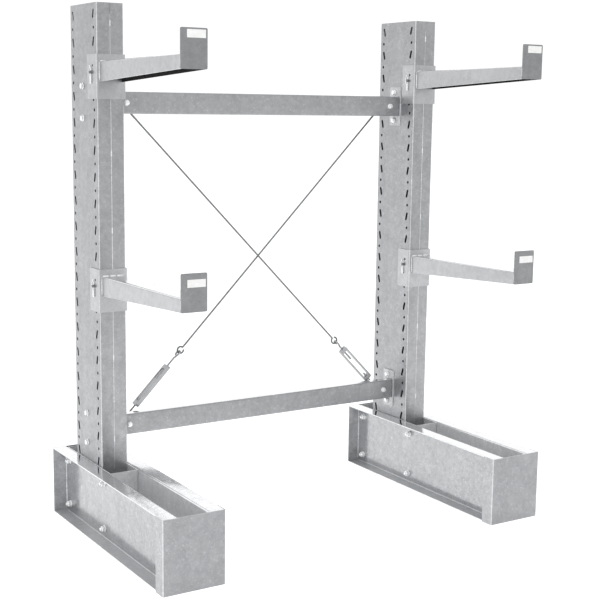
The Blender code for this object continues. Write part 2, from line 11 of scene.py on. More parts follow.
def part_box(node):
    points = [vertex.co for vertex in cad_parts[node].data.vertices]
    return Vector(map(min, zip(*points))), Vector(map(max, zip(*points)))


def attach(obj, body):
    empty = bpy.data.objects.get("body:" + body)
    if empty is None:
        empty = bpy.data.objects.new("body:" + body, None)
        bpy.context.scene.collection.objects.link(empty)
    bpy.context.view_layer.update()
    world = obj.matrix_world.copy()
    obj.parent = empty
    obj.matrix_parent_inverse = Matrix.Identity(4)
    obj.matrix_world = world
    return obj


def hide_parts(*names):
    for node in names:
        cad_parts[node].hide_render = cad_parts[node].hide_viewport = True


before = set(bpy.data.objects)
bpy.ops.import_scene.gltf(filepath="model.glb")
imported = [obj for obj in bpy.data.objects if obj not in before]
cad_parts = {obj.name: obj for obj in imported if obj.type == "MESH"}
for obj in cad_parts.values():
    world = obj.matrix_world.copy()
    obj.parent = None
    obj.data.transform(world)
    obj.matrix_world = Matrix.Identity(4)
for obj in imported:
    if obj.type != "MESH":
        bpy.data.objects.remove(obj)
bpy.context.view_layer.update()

SIDES = (("left", -1), ("right", 1))
LEVELS = ("upper", "lower")
random.seed(7)


# --- materials --------------------------------------------------------------------------------
def new_material(name, **values):
    """A material, its nodes, its links and its shader, whose own sockets take the values."""
    mat = bpy.data.materials.new(name)
    mat.use_nodes = True
    nodes = mat.node_tree.nodes
    shader = nodes["Principled BSDF"]
    for key, value in values.items():
        shader.inputs[key].default_value = value
    return mat, nodes, mat.node_tree.links, shader


def new_node(nodes, kind, **values):
    """A node whose sockets and settings take the values."""
    node = nodes.new(kind)
    for key, value in values.items():
        if key in node.inputs:
            node.inputs[key].default_value = value
        else:
            setattr(node, key, value)
    return node


def texture(nodes, links, kind, vector, **values):
    """A texture node that reads the given vector."""
    node = new_node(nodes, kind, **values)
    links.new(vector, node.inputs["Vector"])
    return node


def noise(nodes, links, vector, **values):
    return texture(nodes, links, "ShaderNodeTexNoise", vector, **values).outputs


def channels(nodes, links, colour):
    """The red, green and blue sockets of a colour."""
    node = nodes.new("ShaderNodeSeparateColor")
    links.new(colour, node.inputs["Color"])
    return node.outputs


def mix_colour(nodes, links, factor, a, b):
    """Colour a where the factor is 0, and b where it is 1."""
    node = new_node(nodes, "ShaderNodeMix", data_type="RGBA")
    links.new(factor, node.inputs[0])
    node.inputs[6].default_value = a
    node.inputs[7].default_value = b
    return node.outputs[2]


def remap(nodes, links, value, low, high, to_low, to_high, kind="LINEAR"):
    """The range from low to high stretched over the range from to_low to to_high."""
    limits = {"From Min": low, "From Max": high, "To Min": to_low, "To Max": to_high}
    node = new_node(nodes, "ShaderNodeMapRange", interpolation_type=kind, **limits)
    links.new(value, node.inputs["Value"])
    return node.outputs["Result"]


def times(nodes, links, value, other):
    """A socket times another socket or a number."""
    node = new_node(nodes, "ShaderNodeMath", operation="MULTIPLY")
    links.new(value, node.inputs[0])
    if hasattr(other, "is_linked"):
        links.new(other, node.inputs[1])
    else:
        node.inputs[1].default_value = other
    return node.outputs[0]


def times_plus(nodes, links, value, factor, other):
    """A socket times a number, plus another socket."""
    node = new_node(nodes, "ShaderNodeMath", operation="MULTIPLY_ADD")
    links.new(value, node.inputs[0])
    node.inputs[1].default_value = factor
    links.new(other, node.inputs[2])
    return node.outputs[0]


def tinted(nodes, links, value, colour):
    """A socket times each part of a colour."""
    node = nodes.new("ShaderNodeCombineColor")
    for channel, part in zip(("Red", "Green", "Blue"), colour):
        links.new(times(nodes, links, value, part), node.inputs[channel])
    return node.outputs["Color"]


def add_relief(nodes, links, shader, height, strength, depth):
    """Let a height socket tilt the shader's normal."""
    node = new_node(nodes, "ShaderNodeBump", Strength=strength, Distance=depth)
    links.new(height, node.inputs["Height"])
    links.new(node.outputs["Normal"], shader.inputs["Normal"])


def galvanised(name, colour, roughness, metallic=0.9, spangle=0.012, contrast=0.10, cloud=0.08,
               fleck=0.25, bump=0.25):
    """Hot-dip zinc: crystal facets in two sizes, clouds, blotches, drain runs and pale flecks."""
    mat, nodes, links, shader = new_material(name, Metallic=metallic)
    coord = nodes.new("ShaderNodeTexCoord").outputs["Object"]

    # facets with slightly wandering borders
    bent = new_node(nodes, "ShaderNodeMix", data_type="VECTOR")
    bent.inputs[0].default_value = 0.012
    links.new(coord, bent.inputs[4])
    links.new(noise(nodes, links, coord, Scale=38.0, Detail=2.0)["Color"], bent.inputs[5])
    large, small = [
        channels(nodes, links, texture(nodes, links, "ShaderNodeTexVoronoi", bent.outputs[1],
                                       Scale=density / spangle).outputs["Color"])
        for density in (1.0, 3.1)]

    clouds = noise(nodes, links, coord, Scale=11.0, Detail=4.0, Roughness=0.62)["Fac"]
    blotches = noise(nodes, links, coord, Scale=42.0, Detail=3.0, Roughness=0.6)["Fac"]
    stretched = texture(nodes, links, "ShaderNodeMapping", coord, Scale=(30.0, 30.0, 3.0))
    runs = noise(nodes, links, stretched.outputs["Vector"], Scale=1.0, Detail=3.0)["Fac"]
    flecks = noise(nodes, links, coord, Scale=150.0, Detail=1.0)["Fac"]

    value = remap(nodes, links, large["Red"], 0.0, 1.0, 1.0 - contrast, 1.0 + contrast)
    for source, low, high, depth in ((small["Green"], 0.0, 1.0, contrast * 0.6),
                                     (clouds, 0.32, 0.68, cloud),
                                     (blotches, 0.35, 0.65, cloud * 0.8),
                                     (runs, 0.35, 0.70, cloud * 0.6)):
        tone = remap(nodes, links, source, low, high, 1.0 - depth, 1.0 + depth)
        value = times(nodes, links, value, tone)
    value = times(nodes, links, value,
                  remap(nodes, links, flecks, 0.62, 0.72, 1.0, 1.0 + fleck))
    links.new(tinted(nodes, links, value, colour), shader.inputs["Base Color"])

    rough = remap(nodes, links, large["Blue"], 0.0, 1.0, roughness - 0.05, roughness + 0.07)
    links.new(rough, shader.inputs["Roughness"])
    relief = times_plus(nodes, links, large["Green"], 0.35, clouds)
    add_relief(nodes, links, shader, relief, bump, 0.0006)
    return mat


def plated(name, colour, roughness, metallic=1.0):
    """Electro-plated zinc on bolts, rods and clips: bright, finely brushed, a little stained."""
    mat, nodes, links, shader = new_material(name, Metallic=metallic)
    coord = nodes.new("ShaderNodeTexCoord").outputs["Object"]
    fine = noise(nodes, links, coord, Scale=260.0, Detail=3.0)["Fac"]
    stain = noise(nodes, links, coord, Scale=45.0, Detail=3.0)["Fac"]
    dull = remap(nodes, links, stain, 0.48, 0.72, 0.0, 0.35)
    lighter = tuple(min(1.0, c * 1.06) for c in colour) + (1.0,)
    darker = tuple(c * 0.72 for c in colour) + (1.0,)
    links.new(mix_colour(nodes, links, dull, lighter, darker), shader.inputs["Base Color"])
    rough = remap(nodes, links, fine, 0.3, 0.7, roughness - 0.07, roughness + 0.09)
    links.new(rough, shader.inputs["Roughness"])
    add_relief(nodes, links, shader, fine, 0.15, 0.0002)
    return mat


def paper(name):
    """Plain white sticker, very slightly uneven."""
    mat, nodes, links, shader = new_material(name, Roughness=0.45)
    coord = nodes.new("ShaderNodeTexCoord").outputs["Object"]
    uneven = noise(nodes, links, coord, Scale=90.0, Detail=2.0)["Fac"]
    factor = remap(nodes, links, uneven, 0.35, 0.65, 0.0, 1.0)
    greyer, whiter = (0.84, 0.84, 0.83, 1.0), (0.90, 0.90, 0.90, 1.0)
    links.new(mix_colour(nodes, links, factor, greyer, whiter), shader.inputs["Base Color"])
    return mat


SHEET = galvanised("galvanised_sheet", (0.385, 0.392, 0.403), 0.34, contrast=0.06, cloud=0.055)
SMOOTH = galvanised("galvanised_smooth", (0.500, 0.508, 0.520), 0.34, contrast=0.04, cloud=0.035,
                    fleck=0.10)
WEB = galvanised("galvanised_web", (0.445, 0.452, 0.464), 0.17, contrast=0.06, cloud=0.05,
                 bump=0.08)
# a near-white copy of the zinc for top faces: a painted highlight standing in for the reflected white
# surroundings
TOP_HIGHLIGHT = galvanised("galvanised_top_highlight", (0.930, 0.935, 0.945), 0.14, metallic=1.0, contrast=0.02,
                  cloud=0.03, fleck=0.05, bump=0.03)
# a pale copy of the zinc for lips and rims: a painted highlight along edges
EDGE_HIGHLIGHT = galvanised("galvanised_edge_highlight", (0.900, 0.905, 0.912), 0.35, metallic=0.35, contrast=0.05,
                  cloud=0.05, bump=0.1)
# a lighter copy of the zinc for bends and eased edges: a painted highlight along corners
CORNER_HIGHLIGHT = galvanised("galvanised_corner_highlight", (0.660, 0.667, 0.678), 0.36, metallic=0.55,
                    contrast=0.05, cloud=0.05, bump=0.1)
PLATE = galvanised("galvanised_plate", (0.510, 0.518, 0.530), 0.40, contrast=0.08, cloud=0.06)
CAP = galvanised("galvanised_cap", (0.340, 0.346, 0.357), 0.34, contrast=0.05, cloud=0.05)
STOP = galvanised("galvanised_stop", (0.300, 0.306, 0.316), 0.46, contrast=0.05, cloud=0.04,
                  fleck=0.10)
BRACE = galvanised("galvanised_brace", (0.390, 0.397, 0.408), 0.46, metallic=0.75,
                   contrast=0.05, cloud=0.05)
FLANGE = galvanised("galvanised_flange", (0.600, 0.608, 0.620), 0.36, metallic=0.7,
                    contrast=0.04, cloud=0.04, fleck=0.10)
# a lighter, duller copy of the zinc for the trough between the base channels and for the shoe:
# painted light standing in for light bounced into the recess
LIT_TROUGH = galvanised("galvanised_lit_trough", (0.600, 0.608, 0.620), 0.48, metallic=0.15,
                    contrast=0.05, cloud=0.04)
# a dark copy of the zinc for the column's inside: painted shade
HOLLOW_SHADE = galvanised("galvanised_hollow_shade", (0.100, 0.102, 0.106), 0.60, metallic=0.4)
# a black copy of the zinc for the inside of the beams: painted shade
INSIDE_SHADE = galvanised("galvanised_inside_shade", (0.004, 0.004, 0.005), 0.80, metallic=0.0, contrast=0.15)
WELD = galvanised("galvanised_weld", (0.900, 0.905, 0.912), 0.34, metallic=0.3, spangle=0.004,
                  contrast=0.12, bump=0.5)
ZINC = plated("bright_zinc", (0.93, 0.94, 0.95), 0.34, metallic=0.6)
WIRE = plated("zinc_wire", (0.95, 0.95, 0.95), 0.34, metallic=0.7)
# dark zinc for the tie rods, also put on the pins as painted shade round them
ROD_AND_PIN_SHADE = plated("zinc_rod_and_pin_shade", (0.215, 0.220, 0.226), 0.40)
BODY = plated("zinc_turnbuckle", (0.400, 0.408, 0.418), 0.34)
LABEL = paper("label_paper")


# --- shape helpers ----------------------------------------------------------------------------
def frame_of(axis):
    """Two directions of the cross-section plane, then the extrusion direction."""
    return {
        "X": (Vector((0, 1, 0)), Vector((0, 0, 1)), Vector((1, 0, 0))),
        "Y": (Vector((1, 0, 0)), Vector((0, 0, 1)), Vector((0, 1, 0))),
        "Z": (Vector((1, 0, 0)), Vector((0, 1, 0)), Vector((0, 0, 1))),
    }[axis]


def spoke(u, v, turn):
    """Direction in the plane of u and v after that share of a full turn."""
    angle = 2 * math.pi * turn
    return u * math.cos(angle) + v * math.sin(angle)


def skin(bm, rings):
    """Join a row of equal rings of points into one solid."""
    loops = [[bm.verts.new(p) for p in ring] for ring in rings]
    for a, b in zip(loops, loops[1:]):
        for i in range(len(a)):
            j = (i + 1) % len(a)
            bm.faces.new((a[i], a[j], b[j], b[i]))
    bm.faces.new(loops[0][::-1])
    bm.faces.new(loops[-1])


def prism(bm, outline, axis, start, end):
    u, v, w = frame_of(axis)
    skin(bm, [[u * a + v * b + w * t for a, b in outline] for t in (start, end)])


def rectangle(width, height, centre=(0.0, 0.0)):
    x, y, cx, cy = width / 2, height / 2, centre[0], centre[1]
    return [(cx - x, cy - y), (cx + x, cy - y), (cx + x, cy + y), (cx - x, cy + y)]


def arc(centre, radius, start, end, steps):
    """Points on a circle between two angles in degrees."""
    angles = [math.radians(start + (end - start) * i / steps) for i in range(steps + 1)]
    return [(centre[0] + radius * math.cos(a), centre[1] + radius * math.sin(a)) for a in angles]


def circle(diameter, sides, centre=(0.0, 0.0)):
    return [(centre[0] + diameter / 2 * math.cos(2 * math.pi * i / sides),
             centre[1] + diameter / 2 * math.sin(2 * math.pi * i / sides)) for i in range(sides)]


def rounded(width, height, radius, centre=(0.0, 0.0), steps=5):
    """A rectangle with round corners."""
    x, y = width / 2 - radius, height / 2 - radius
    points = []
    for sx, sy, a in ((1, 1, 0), (-1, 1, 90), (-1, -1, 180), (1, -1, 270)):
        points += arc((centre[0] + sx * x, centre[1] + sy * y), radius, a, a + 90, steps)
    return points


def slot_outline(width, centres, tilt, centre):
    """A slot with round ends, leaning by tilt; centres is the distance between its end arcs."""
    half, steps = centres / 2, 9
    points = arc((0.0, half), width / 2, 0, 180, steps)
    points += arc((0.0, -half), width / 2, 180, 360, steps)
    c, s = math.cos(tilt), math.sin(tilt)
    return [(centre[0] + c * a - s * b, centre[1] + s * a + c * b) for a, b in points]


def folded(path, sheet, bend, steps=6, lip=0.0006):
    """Outline of sheet folded along a path, with eased ends; the sheet lies left of the path."""
    near, far = [], []
    count = len(path)
    for i, corner in enumerate(path):
        here = Vector(corner)
        if i in (0, count - 1):
            ahead = (Vector(path[1]) - here) if i == 0 else (here - Vector(path[-2]))
            ahead.normalize()
            side = Vector((-ahead.y, ahead.x))
            back = ahead * lip * (1 if i == 0 else -1)
            pair = [(here + back, here + back + side * sheet),
                    (here + side * lip, here + side * (sheet - lip))]
            for a, b in (reversed(pair) if i == 0 else pair):
                near.append(a)
                far.append(b)
            continue
        came = (here - Vector(path[i - 1])).normalized()
        goes = (Vector(path[i + 1]) - here).normalized()
        turn = math.atan2(came.x * goes.y - came.y * goes.x, came.dot(goes))
        side = 1.0 if turn > 0 else -1.0
        outer = bend + sheet if turn > 0 else bend
        inner = bend if turn > 0 else bend + sheet
        normal = Vector((-came.y, came.x)) * side
        centre = here - came * outer * math.tan(abs(turn) / 2) + normal * outer
        for k in range(steps + 1):
            angle = turn * k / steps
            c, s = math.cos(angle), math.sin(angle)
            out = Vector((-c * normal.x + s * normal.y, -s * normal.x - c * normal.y))
            near.append(centre + out * outer)
            far.append(centre + out * inner)
    return [tuple(p) for p in near] + [tuple(p) for p in reversed(far)]


def tube(bm, path, diameter, sides=14, wobble=None):
    """A round wire along a path; wobble gives the share of the radius at each point."""
    points = [Vector(p) for p in path]
    last = len(points) - 1
    rings, u = [], None
    for i, point in enumerate(points):
        tangent = (points[min(i + 1, last)] - points[max(i - 1, 0)]).normalized()
        if u is None:
            helper = Vector((0, 1, 0)) if abs(tangent.y) < 0.9 else Vector((1, 0, 0))
            u = tangent.cross(helper).normalized()
        u = (u - tangent * u.dot(tangent)).normalized()
        v = tangent.cross(u)
        r = diameter / 2 * (wobble(i) if wobble else 1.0)
        rings.append([point + spoke(u, v, k / sides) * r for k in range(sides)])
    skin(bm, rings)


def smooth_path(points, steps):
    """Catmull-Rom curve through points."""
    pts = [Vector(p) for p in points]
    pts = [2 * pts[0] - pts[1]] + pts + [2 * pts[-1] - pts[-2]]
    path = []
    for i in range(1, len(pts) - 2):
        p0, p1, p2, p3 = pts[i - 1:i + 3]
        for k in range(steps):
            t = k / steps
            path.append(0.5 * (2 * p1 + (p2 - p0) * t + (2 * p0 - 5 * p1 + 4 * p2 - p3) * t * t
                               + (3 * p1 - p0 - 3 * p2 + p3) * t ** 3))
    return path + [pts[-2]]


def soften(bm, width, segments=2, angle=40.0):
    """Round every edge sharper than angle."""
    edges = [e for e in bm.edges if len(e.link_faces) == 2
             and e.calc_face_angle(0.0) > math.radians(angle)]
    bmesh.ops.bevel(bm, geom=edges, offset=width, segments=segments, profile=0.6,
                    affect="EDGES", clamp_overlap=True)


def shade(mesh, crease):
    """Smooth shading that breaks at edges sharper than crease; None leaves the faces flat."""
    if crease:
        mesh.shade_smooth()
        mesh.set_sharp_from_angle(angle=math.radians(crease))
    return mesh


def mesh_of(name, bm, crease=35.0):
    bmesh.ops.recalc_face_normals(bm, faces=bm.faces)
    mesh = bpy.data.meshes.new(name)
    bm.to_mesh(mesh)
    bm.free()
    return shade(mesh, crease)


def carve(name, bm, cutter_bm, crease=35.0):
    """Boolean difference of two bmeshes, returned as one mesh."""
    a = bpy.data.objects.new(name + "_body", mesh_of(name + "_body", bm, None))
    b = bpy.data.objects.new(name + "_tool", mesh_of(name + "_tool", cutter_bm, None))
    for obj in (a, b):
        bpy.context.scene.collection.objects.link(obj)
    mod = a.modifiers.new("cut", "BOOLEAN")
    mod.operation, mod.solver, mod.object, mod.use_self = "DIFFERENCE", "EXACT", b, True
    graph = bpy.context.evaluated_depsgraph_get()
    mesh = bpy.data.meshes.new_from_object(a.evaluated_get(graph))
    mesh.name = name
    for obj in (a, b):
        data = obj.data
        bpy.data.objects.remove(obj)
        bpy.data.meshes.remove(data)
    return shade(mesh, crease)


def mark(mesh, index, test):
    """Give the faces that pass test(centre, normal) another material slot."""
    for face in mesh.polygons:
        if test(face.center, face.normal):
            face.material_index = index


def piece(name, mesh, mats, body, stands_for=(), matrix=None):
    """Put a mesh in the scene on a CAD body; the matrix is baked into a copy of the mesh."""
    if matrix is not None:
        mesh = mesh.copy()
        mesh.transform(matrix)
        if matrix.determinant() < 0:
            mesh.flip_normals()
    mesh.name = name
    obj = bpy.data.objects.new(name, mesh)
    bpy.context.scene.collection.objects.link(obj)
    if not isinstance(mats, (list, tuple)):
        mats = [mats]
    indices = [face.material_index for face in mesh.polygons]
    obj.data.materials.clear()
    for mat in mats:
        obj.data.materials.append(mat)
    mesh.polygons.foreach_set("material_index", indices)
    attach(obj, body)
    if stands_for:
        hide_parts(*([stands_for] if isinstance(stands_for, str) else stands_for))


def shift(x=0.0, y=0.0, z=0.0, mirror=False):
    """Translation, after an optional mirror in X."""
    matrix = Matrix.Translation((x, y, z))
    return matrix @ Matrix.Diagonal((-1.0, 1.0, 1.0, 1.0)) if mirror else matrix


# --- turned, threaded and welded shapes -------------------------------------------------------
WASHER = 0.0025
BASE_BOLT = {"diameter": 0.012, "flats": 0.019, "head": 0.0078, "nut": 0.0100, "tail": 0.0060}
BRACKET_BOLT = {"diameter": 0.010, "flats": 0.017, "head": 0.0064, "nut": 0.0084, "tail": 0.0060}
BRACE_BOLT = {"diameter": 0.010, "flats": 0.016, "head": 0.0064, "nut": 0.0080, "tail": 0.0050}


def revolve(bm, axis, profile, sides=32):
    """A turned solid from (position, radius) pairs."""
    u, v, w = frame_of(axis)
    skin(bm, [[spoke(u, v, k / sides) * r + w * t for k in range(sides)] for t, r in profile])


def hexagon(bm, axis, start, end, flats):
    """A hexagonal head or nut whose outer end is chamfered; start is the seat."""
    u, v, w = frame_of(axis)
    way = 1.0 if end > start else -1.0
    flat, sides = flats / 2, 36
    crown = flat * 0.93
    rings = [[], [], []]
    for k in range(sides):
        nearest = (360.0 * k / sides + 30.0) % 60.0 - 30.0
        r = flat / math.cos(math.radians(nearest))
        out = spoke(u, v, k / sides)
        rings[0].append(out * r + w * start)
        rings[1].append(out * r + w * (end - way * (r - crown) * 0.55))
        rings[2].append(out * crown + w * end)
    skin(bm, rings)


def threaded(bm, axis, start, end, diameter, pitch):
    """A round bar with a helical ridge, plain and thinner at its two ends."""
    u, v, w = frame_of(axis)
    sides, depth = 24, 0.0006
    count = max(3, int(abs(end - start) / pitch * 5))
    rings = []
    for i in range(count + 1):
        t = start + (end - start) * i / count
        ring = []
        for k in range(sides):
            phase = (t / pitch - k / sides) % 1.0
            groove = depth * abs(2 * phase - 1) if 0 < i < count else depth * 1.2
            ring.append(spoke(u, v, k / sides) * (diameter / 2 - groove) + w * t)
        rings.append(ring)
    skin(bm, rings)


def hex_bolt(name, axis, head_face, nut_face, diameter, flats, head, nut, tail):
    """Bolt, two washers and nut; the head sits on head_face, the nut beyond nut_face."""
    way = 1.0 if nut_face > head_face else -1.0
    washer_r, eased, slack = flats * 0.64, 0.0004, 0.0002
    bm = bmesh.new()
    for face, out in ((head_face, -way), (nut_face, way)):
        revolve(bm, axis, [(face, washer_r - eased), (face + out * eased, washer_r),
                           (face + out * (WASHER - eased), washer_r),
                           (face + out * WASHER, washer_r - eased)])
    hexagon(bm, axis, head_face - way * WASHER, head_face - way * (WASHER + head), flats)
    hexagon(bm, axis, nut_face + way * WASHER, nut_face + way * (WASHER + nut), flats)
    revolve(bm, axis, [(head_face, diameter / 2 - slack), (nut_face, diameter / 2 - slack)], 24)
    threaded(bm, axis, nut_face + way * 0.001, nut_face + way * (WASHER + nut + tail), diameter,
             diameter * 0.15)
    return mesh_of(name, bm, 32.0)


def bead(bm, start, end, width, ripple=0.0030):
    """A rippled weld bead along a straight joint, thinner at its ends."""
    a, b = Vector(start), Vector(end)
    count = max(4, int((b - a).length / ripple * 3))
    path = [a.lerp(b, i / count) for i in range(count + 1)]

    def swell(i):
        taper = min(1.0, 0.45 + 3.0 * i / count, 0.45 + 3.0 * (count - i) / count)
        return taper * (0.88 + 0.12 * math.cos(2 * math.pi * i / 3) + random.uniform(-0.05, 0.05))
    tube(bm, path, width, 10, swell)


def weld_mesh(name, bm):
    return mesh_of(name, bm, 60.0)


# --- sizes read from the CAD ------------------------------------------------------------------
def centre_of(node):
    low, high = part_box(node)
    return (low + high) / 2


COLUMN_X = {side: centre_of("column_" + side + "_shoe").x for side, _ in SIDES}
COLUMN_LOW, COLUMN_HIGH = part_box("column_right_outer_channel")
FRONT, BACK = COLUMN_LOW.y, COLUMN_HIGH.y
HALF = COLUMN_HIGH.x - COLUMN_X["right"]
GAP = 0.0003


def box_from_column(node):
    """The corners of a node of the right column, with X measured from the column's middle."""
    middle = Vector((COLUMN_X["right"], 0.0, 0.0))
    low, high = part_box(node)
    return low - middle, high - middle


# punched rows: slots whose tops lean to the nearer edge of the side, and round holes between them
SLOTS, HOLES, PITCH = 18, 17, 0.090
FIRST_SLOT = COLUMN_HIGH.z - 0.0364
FIRST_HOLE = COLUMN_HIGH.z - 0.0814
SLOT_WIDTH, SLOT_CENTRES, SLOT_INSET, SLOT_TILT = 0.011, 0.022, 0.0275, math.radians(15.0)
HOLE_WIDTH, HOLE_ROWS = 0.011, (FRONT + 0.0245, BACK - 0.0235)

# bolt holes of the brackets and of the braces
BRACKET_BOLT_Y, BRACKET_BOLT_STEP, BRACKET_BOLT_HOLE = FRONT + 0.122, 0.054, 0.0125
BRACE_BOLT_HOLE = 0.0115


# --- columns ----------------------------------------------------------------------------------
COLUMN_SHEET, COLUMN_BEND = 0.003, 0.004


def column_half():
    """The half of a column beyond its middle plane: a lipped channel with its punched rows."""
    reach = (-0.01, HALF + 0.01)
    cut = bmesh.new()
    for i in range(SLOTS):
        z = FIRST_SLOT - i * PITCH
        for y, lean in ((FRONT + SLOT_INSET, 1), (BACK - SLOT_INSET, -1)):
            outline = slot_outline(SLOT_WIDTH, SLOT_CENTRES, lean * SLOT_TILT, (y, z))
            prism(cut, outline, "X", *reach)
    for i in range(HOLES):
        for y in HOLE_ROWS:
            prism(cut, circle(HOLE_WIDTH, 20, (y, FIRST_HOLE - i * PITCH)), "X", *reach)
    for level in LEVELS:
        middle = centre_of("bracket_" + level + "_right").z
        for z in (middle - BRACKET_BOLT_STEP, middle + BRACKET_BOLT_STEP):
            prism(cut, circle(BRACKET_BOLT_HOLE, 16, (BRACKET_BOLT_Y, z)), "X", *reach)

    path = [(GAP / 2, FRONT), (HALF, FRONT), (HALF, BACK), (GAP / 2, BACK)]
    bm = bmesh.new()
    prism(bm, folded(path, COLUMN_SHEET, COLUMN_BEND, lip=0.0008), "Z", COLUMN_LOW.z,
          COLUMN_HIGH.z)
    mesh = carve("column_channel", bm, cut)
    # painted shade on the inside of the sheet and the inner face of the side, then a painted
    # highlight on the bends and the top edge
    wall = COLUMN_SHEET - 0.0002
    mark(mesh, 1, lambda c, n: c.x < HALF - wall and FRONT + wall < c.y < BACK - wall)
    mark(mesh, 1, lambda c, n: abs(HALF - COLUMN_SHEET - c.x) < 0.0005 and n.x < -0.9)
    mark(mesh, 2, lambda c, n: n.x > 0.5 and 0.5 < abs(n.y) and c.x > HALF - 0.006)
    mark(mesh, 2, lambda c, n: n.z > 0.9 and c.z > COLUMN_HIGH.z - 0.001)
    return mesh


def column_seams():
    """A fine weld down the front and the back seam, with short stitches over it."""
    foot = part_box("column_right_shoe")[1].z - 0.010
    bm = bmesh.new()
    for y in (FRONT + 0.0009, BACK - 0.0009):
        bead(bm, (0.0, y, foot), (0.0, y, COLUMN_HIGH.z - 0.038), 0.0024, 0.012)
    for z in (0.33, 0.62, 1.06, 1.32, 1.75):
        for y in (FRONT + 0.0006, BACK - 0.0006):
            bead(bm, (0.0, y, z), (0.0, y, z + 0.022), 0.0050)
    return weld_mesh("column_seams", bm)


def build_columns():
    mesh, seams = column_half(), column_seams()
    for side, way in SIDES:
        for half, hand in (("outer", way), ("inner", -way)):
            node = "column_" + side + "_" + half + "_channel"
            piece(node + "_skin", mesh, [SHEET, HOLLOW_SHADE, CORNER_HIGHLIGHT], "frame", node,
                  shift(COLUMN_X[side], mirror=hand < 0))
    for side, _ in SIDES:
        piece("column_" + side + "_seams", seams, WELD, "frame", (),
              shift(COLUMN_X[side]))


# --- bases ------------------------------------------------------------------------------------
BASE_SHEET, BASE_BEND, BASE_BOLT_HOLE = 0.004, 0.004, 0.0135
SHOE_SHEET = 0.003
BASE_LOW, BASE_HIGH = box_from_column("base_right_outer_channel")
CAP_LOW, CAP_HIGH = box_from_column("base_right_front_cap")
REAR_LOW, REAR_HIGH = box_from_column("base_right_back_plate")
BASE_BOLTS = [(place, level) for place in ("front", "back") for level in ("lower", "upper")]


def cut_base_bolts(bm, start, end):
    for place, level in BASE_BOLTS:
        spot = centre_of("base_right_bolt_" + place + "_" + level)
        prism(bm, circle(BASE_BOLT_HOLE, 20, (spot.y, spot.z)), "X", start, end)


def base_channel():
    """A channel with its web against the column and its flanges outwards."""
    web, lip, top = BASE_LOW.x, BASE_HIGH.x, BASE_HIGH.z
    cut = bmesh.new()
    cut_base_bolts(cut, 0.03, 0.08)
    path = [(lip, top), (web, top), (web, 0.0), (lip, 0.0)]
    bm = bmesh.new()
    prism(bm, folded(path, BASE_SHEET, BASE_BEND, 7, 0.0008), "Y", BASE_LOW.y, BASE_HIGH.y)
    mesh = carve("base_channel", bm, cut)
    # a painted highlight on the deck, then the web, painted light on the web's face towards the
    # column, and a painted highlight on the lips
    mark(mesh, 1, lambda c, n: n.z > 0.35 and c.z > top - 0.006)
    mark(mesh, 2, lambda c, n: web - 0.001 < c.x < web + 0.009 and abs(n.x) > 0.9)
    mark(mesh, 3, lambda c, n: n.x < -0.9 and c.x < web + 0.001)
    mark(mesh, 4, lambda c, n: c.x > lip - 0.002 and n.x > 0.25)
    return mesh


def shoe_box():
    low, high = box_from_column("column_right_shoe")
    width, depth, middle = 2 * high.x, high.y - low.y, (0.0, (high.y + low.y) / 2)
    bm = bmesh.new()
    prism(bm, rounded(width, depth, 0.003, middle, 4), "Z", low.z, high.z)
    cut = bmesh.new()
    inside = rectangle(width - 2 * SHOE_SHEET, depth - 2 * SHOE_SHEET, middle)
    prism(cut, inside, "Z", -0.01, 0.30)
    cut_base_bolts(cut, -0.08, 0.08)
    mesh = carve("shoe", bm, cut)
    # the shoe's walls take the lighter trough zinc as painted light, and its top rim a painted
    # highlight
    mark(mesh, 1, lambda c, n: n.z > 0.9)
    return mesh


def front_cap():
    side, front, back = CAP_HIGH.x, CAP_LOW.y, CAP_HIGH.y
    path = [(-side, back), (-side, front), (side, front), (side, back)]
    bm = bmesh.new()
    prism(bm, folded(path, 0.003, 0.0012, 5), "Z", 0.0, CAP_HIGH.z)
    mesh = mesh_of("front_cap", bm)
    mark(mesh, 1, lambda c, n: n.y < -0.9)
    # a painted highlight on the top and on the front bends
    mark(mesh, 2, lambda c, n: n.z > 0.9 or (n.y < -0.2 and abs(n.x) > 0.2))
    return mesh


def back_plate():
    width, height = REAR_HIGH.x - REAR_LOW.x, REAR_HIGH.z
    bm = bmesh.new()
    prism(bm, rounded(width, height, 0.002, (0.0, height / 2), 3), "Y", REAR_LOW.y, REAR_HIGH.y)
    soften(bm, 0.0005)
    return mesh_of("back_plate", bm)


def base_welds():
    """Upright beads that join both ends of the webs to the cap and to the back plate."""
    bm = bmesh.new()
    for hand in (-1, 1):
        x = hand * (BASE_LOW.x + BASE_SHEET + 0.0004)
        for y in (CAP_HIGH.y + 0.0012, REAR_LOW.y - 0.0006):
            bead(bm, (x, y, 0.012), (x, y, BASE_HIGH.z - 0.012), 0.0034)
    return weld_mesh("base_welds", bm)


